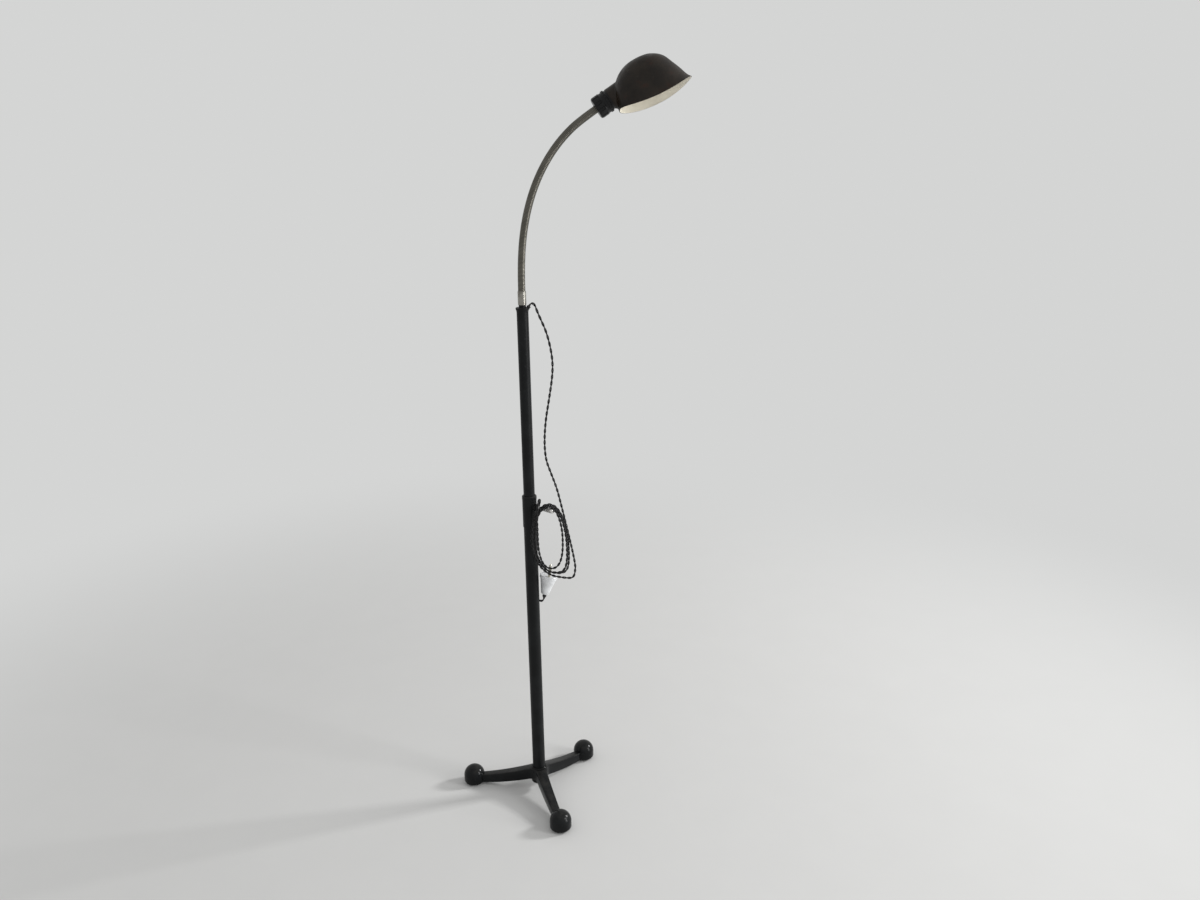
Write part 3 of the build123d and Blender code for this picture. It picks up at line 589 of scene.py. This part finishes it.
class LAMP_OT_neck(bpy.types.Operator):
    """Wound metal neck, one length to each hinge, from the ferrule to the lamp holder"""
    bl_idname = "floor_lamp.neck"
    bl_label = "Flexible neck"

    def execute(self, context):
        neck = context.scene.lamp_neck
        finish = wound_metal(tuple(neck.colour))
        hinges = [joint for joint in frame["joints"] if joint["name"].startswith("neck_bend_")]
        centres = np.array([joint["pos_m"] for joint in hinges])
        foot, head = neck_ends()
        stops = np.vstack([foot, (centres[:-1] + centres[1:]) / 2, head])
        travelled = 0.0
        for number, joint in enumerate(hinges):
            line = bend_between(stops[number], centres[number], stops[number + 1])
            points, uv, travelled = wound_tube(line, travelled, neck)
            mesh = grid_mesh(f"neck_{number + 1:02d}", points, closed_u=True, uv=uv,
                             cap_start=True, cap_end=True)
            piece = add_piece(mesh.name, mesh, finish)
            parent, child = joint["parent"], joint["child"]
            stands_for = "neck_root" if parent == "neck_base" else parent.replace("_body", "")
            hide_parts(stands_for, *(["neck_tip"] if child == "head" else []))
            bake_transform(piece)
        return {"FINISHED"}


def neck_ends():
    """Where the neck leaves the ferrule, and where it meets the lamp holder's back."""
    foot = np.array([0.0, 0.0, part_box("neck_ferrule")[1].z - FERRULE_LAP])
    turn = next(joint for joint in frame["joints"] if joint["name"] == "shade_turn")
    return foot, np.array(turn["pos_m"])


def bend_between(start, corner, end):
    """A parabola from start to end whose ends run straight at the corner: each coordinate is
    (1-t)^2 start + 2t(1-t) corner + t^2 end."""
    t = np.linspace(0, 1, BEND_POINTS)[:, None]
    return (1 - t) ** 2 * start + 2 * t * (1 - t) * corner + t**2 * end


def wound_tube(line, travelled, neck):
    """A tube whose radius dips by the rib depth in a narrow groove that winds round it, once a rib
    pitch: the dip is a power of the raised cosine of the distance along, in pitches, plus the angle."""
    dense, stations = evenly(line, neck.rib_pitch / RINGS_A_RIB)
    tangent = np.gradient(dense, axis=0)
    tangent /= np.linalg.norm(tangent, axis=1)[:, None]
    side = np.broadcast_to((0.0, 1.0, 0.0), tangent.shape)
    up = np.cross(side, tangent)
    ring = np.linspace(0, 2 * math.pi, neck.sides, endpoint=False)
    phase = 2 * math.pi * (travelled + stations)[:, None] / neck.rib_pitch + ring[None]
    radius = neck.radius - neck.rib_depth * (0.5 + 0.5 * np.cos(phase)) ** GROOVE_SHARPNESS
    points = circles(dense, radius[..., None], up, side, ring)
    u = np.broadcast_to(ring / (2 * math.pi), radius.shape)
    v = np.broadcast_to((travelled + stations)[:, None] / neck.rib_pitch, radius.shape)
    return points, np.stack([u, v], axis=-1), travelled + stations[-1]


class LAMP_OT_stand(bpy.types.Operator):
    """Paint and metal of the tripod, pole, clamp and pole cap"""
    bl_idname = "floor_lamp.stand"
    bl_label = "Stand finish"

    def execute(self, context):
        colour = tuple(context.scene.lamp_finish.paint)
        finish_node("tripod_base", stand_paint("tripod_paint", colour, 0.17, 0.26))
        finish_nodes(("lower_tube", "upper_tube", "pole_cap", "clamp_collar"),
                     stand_paint("pole_paint", colour, 0.34, 0.46))
        finish_nodes(("tube_foot_plug", "base_washer", "base_nut", "swivel_spindle", "swivel_nut"),
                     plating("screw_steel", (0.42, 0.42, 0.43), (0.12, 0.11, 0.10)))
        finish_node("clamp_screw", plating("handle_steel", (0.88, 0.88, 0.87), (0.60, 0.58, 0.55)))
        finish_node("brake_shoe", plating("old_brass", (0.58, 0.42, 0.20), (0.20, 0.14, 0.08)))
        finish_nodes(("foot_pads", "guide_bush", "cord_gland"),
                     moulding("pad_rubber", (0.012, 0.012, 0.012), 0.75, coat=0.0))
        finish_node("neck_ferrule", plating("ferrule_plating", (0.34, 0.33, 0.30), (0.16, 0.15, 0.13)))
        return {"FINISHED"}


class LAMP_OT_head(bpy.types.Operator):
    """Lamp holder, its rings and contacts, and the lamp"""
    bl_idname = "floor_lamp.head"
    bl_label = "Holder and lamp"

    def execute(self, context):
        colour = tuple(context.scene.lamp_finish.holder)
        finish_nodes(("holder_cap", "holder_skirt", "rear_shade_ring", "front_shade_ring"),
                     moulding("holder_moulding", colour, 0.30, coat=0.0, gloss=0.25))
        finish_node("ceramic_insert", moulding("glazed_ceramic", (0.78, 0.76, 0.70), 0.2))
        finish_nodes(("screw_shell", "centre_contact"),
                     plating("contact_brass", (0.62, 0.45, 0.20), (0.3, 0.2, 0.09)))
        finish_node("bulb_cap", plating("cap_aluminium", (0.66, 0.66, 0.66), (0.4, 0.4, 0.4)))
        finish_node("bulb_glass", opal_glass(), soft_angle=60)
        return {"FINISHED"}


class LAMP_OT_shade(bpy.types.Operator):
    """Sheet metal shade: worn paint outside and enamel inside"""
    bl_idname = "floor_lamp.shade"
    bl_label = "Shade"

    def execute(self, context):
        finish = context.scene.lamp_finish
        paint = shade_paint(tuple(finish.shade_outside), tuple(finish.shade_inside))
        finish_node("shade", paint, soft_angle=40)
        return {"FINISHED"}


class LAMP_OT_plug(bpy.types.Operator):
    """Moulded mains plug with its pins and cord sleeve"""
    bl_idname = "floor_lamp.plug"
    bl_label = "Plug"

    def execute(self, context):
        colour = tuple(context.scene.lamp_finish.plug)
        finish_node("plug_body", moulding("plug_moulding", colour, 0.42, coat=0.1))
        finish_node("plug_pins", plating("pin_plating", (0.6, 0.58, 0.5), (0.3, 0.28, 0.22)))
        finish_node("plug_sleeve", moulding("sleeve_rubber", (0.012, 0.012, 0.012), 0.7, coat=0.0))
        return {"FINISHED"}


class LAMP_OT_studio(bpy.types.Operator):
    """Pale floor, soft lamps and the camera"""
    bl_idname = "floor_lamp.studio"
    bl_label = "Studio"

    def execute(self, context):
        studio = context.scene.lamp_studio
        make_floor(studio)
        make_world(studio)
        for name, (place, aim, size, power) in LAMPS.items():
            make_lamp(name, place, aim, size, power)
        make_camera(context.scene)
        context.scene.view_settings.view_transform = "Standard"
        return {"FINISHED"}


def make_floor(studio):
    """A flat square that takes the object's shadow and, further out, is seen in the backdrop's colour."""
    across = np.linspace(-FLOOR_HALF, FLOOR_HALF, 3)
    x, y = np.meshgrid(across, across)
    mesh = grid_mesh("floor", np.stack([x, y, np.zeros_like(x)], axis=-1))
    recipe = Recipe("floor_paint", specular_ior_level=0.1)
    distance = recipe.add("ShaderNodeVectorMath", operation="LENGTH")
    recipe.feed(distance.inputs[0], recipe.place)
    recipe.colour(recipe.mix(recipe.noise(9, 6), tuple(studio.floor), scaled(studio.floor, 1.04)))
    recipe.rough(0.9)
    seen = recipe.add("ShaderNodeEmission")
    seen.inputs["Color"].default_value = (*studio.backdrop, 1.0)
    far = recipe.ramp(distance.outputs["Value"], *FLOOR_FADES)
    show_backdrop(recipe.tree, recipe.shader.outputs[0], seen.outputs[0],
                  recipe.tree.nodes["Material Output"], lambda ray: recipe.math("MULTIPLY", ray, far))
    add_piece("floor", mesh, recipe.material)


def make_world(studio):
    """Even white light; the camera, mirrors and glass see the backdrop's colour."""
    world = bpy.data.worlds.new("studio")
    bpy.context.scene.world = world
    world.use_nodes = True
    tree = world.node_tree
    light = tree.nodes["Background"]
    light.inputs["Color"].default_value = (1.0, 1.0, 1.0, 1.0)
    light.inputs["Strength"].default_value = studio.level
    seen = tree.nodes.new("ShaderNodeBackground")
    seen.inputs["Color"].default_value = (*studio.backdrop, 1.0)
    show_backdrop(tree, light.outputs[0], seen.outputs[0], tree.nodes["World Output"], lambda ray: ray)


def show_backdrop(tree, lit, seen, output, share):
    """Camera, glossy and transmission rays meet seen, as far as share lets them, and all others lit."""
    path = tree.nodes.new("ShaderNodeLightPath")
    ray = path.outputs["Is Camera Ray"]
    for kind in ("Is Glossy Ray", "Is Transmission Ray"):
        either = tree.nodes.new("ShaderNodeMath")
        either.operation = "MAXIMUM"
        tree.links.new(ray, either.inputs[0])
        tree.links.new(path.outputs[kind], either.inputs[1])
        ray = either.outputs[0]
    mix = tree.nodes.new("ShaderNodeMixShader")
    tree.links.new(share(ray), mix.inputs[0])
    tree.links.new(lit, mix.inputs[1])
    tree.links.new(seen, mix.inputs[2])
    tree.links.new(mix.outputs[0], output.inputs["Surface"])


def make_lamp(name, place, aim, size, power):
    lamp = bpy.data.lights.new(name, "AREA")
    lamp.shape = "RECTANGLE"
    lamp.size, lamp.size_y = size
    lamp.energy = power
    piece = bpy.data.objects.new(name, lamp)
    bpy.context.scene.collection.objects.link(piece)
    piece.location = place
    piece.rotation_euler = (Vector(aim) - Vector(place)).to_track_quat("-Z", "Y").to_euler()


def make_camera(scene):
    """Set by the photograph's view: where the camera stood, how it was tilted and its lens."""
    pitch, roll, yaw = (math.radians(angle) for angle in (CAMERA_PITCH, CAMERA_ROLL, CAMERA_YAW))
    forward = Vector((math.sin(yaw) * math.cos(pitch), math.cos(yaw) * math.cos(pitch), -math.sin(pitch)))
    level = Vector((math.cos(yaw), -math.sin(yaw), 0.0))
    upright = level.cross(forward)
    right = level * math.cos(roll) + upright * math.sin(roll)
    up = upright * math.cos(roll) - level * math.sin(roll)
    data = bpy.data.cameras.new("camera")
    data.sensor_width = SENSOR_WIDTH
    data.lens = LENS
    data.clip_end = CAMERA_REACH
    camera = bpy.data.objects.new("camera", data)
    scene.collection.objects.link(camera)
    turn = Matrix((right, up, -forward)).transposed()
    camera.matrix_world = Matrix.Translation(CAMERA_PLACE) @ turn.to_4x4()
    scene.camera = camera


class LAMP_PT_panel(bpy.types.Panel):
    bl_idname = "LAMP_PT_panel"
    bl_label = "Floor Lamp"
    bl_space_type = "VIEW_3D"
    bl_region_type = "UI"
    bl_category = "Floor Lamp"

    def draw(self, context):
        for heading, (name, group) in SETTINGS.items():
            box = self.layout.box()
            box.label(text=heading)
            for key in group.__annotations__:
                box.prop(getattr(context.scene, name), key)
        for operator in OPERATORS:
            self.layout.operator(operator.bl_idname)


SETTINGS = {
    "Cord": ("lamp_cord", CordSettings),
    "Neck": ("lamp_neck", NeckSettings),
    "Finishes": ("lamp_finish", FinishSettings),
    "Studio": ("lamp_studio", StudioSettings),
}
OPERATORS = (
    LAMP_OT_studio, LAMP_OT_cord, LAMP_OT_neck, LAMP_OT_stand, LAMP_OT_head, LAMP_OT_shade, LAMP_OT_plug,
)


def register():
    for name, group in SETTINGS.values():
        bpy.utils.register_class(group)
        setattr(bpy.types.Scene, name, PointerProperty(type=group))
    for item in (*OPERATORS, LAMP_PT_panel):
        bpy.utils.register_class(item)


def unregister():
    for item in reversed((*OPERATORS, LAMP_PT_panel)):
        bpy.utils.unregister_class(item)
    for name, group in SETTINGS.values():
        delattr(bpy.types.Scene, name)
        bpy.utils.unregister_class(group)


def main():
    register()
    for operator in OPERATORS:
        family, action = operator.bl_idname.split(".")
        getattr(getattr(bpy.ops, family), action)()


if __name__ == "__main__":
    main()
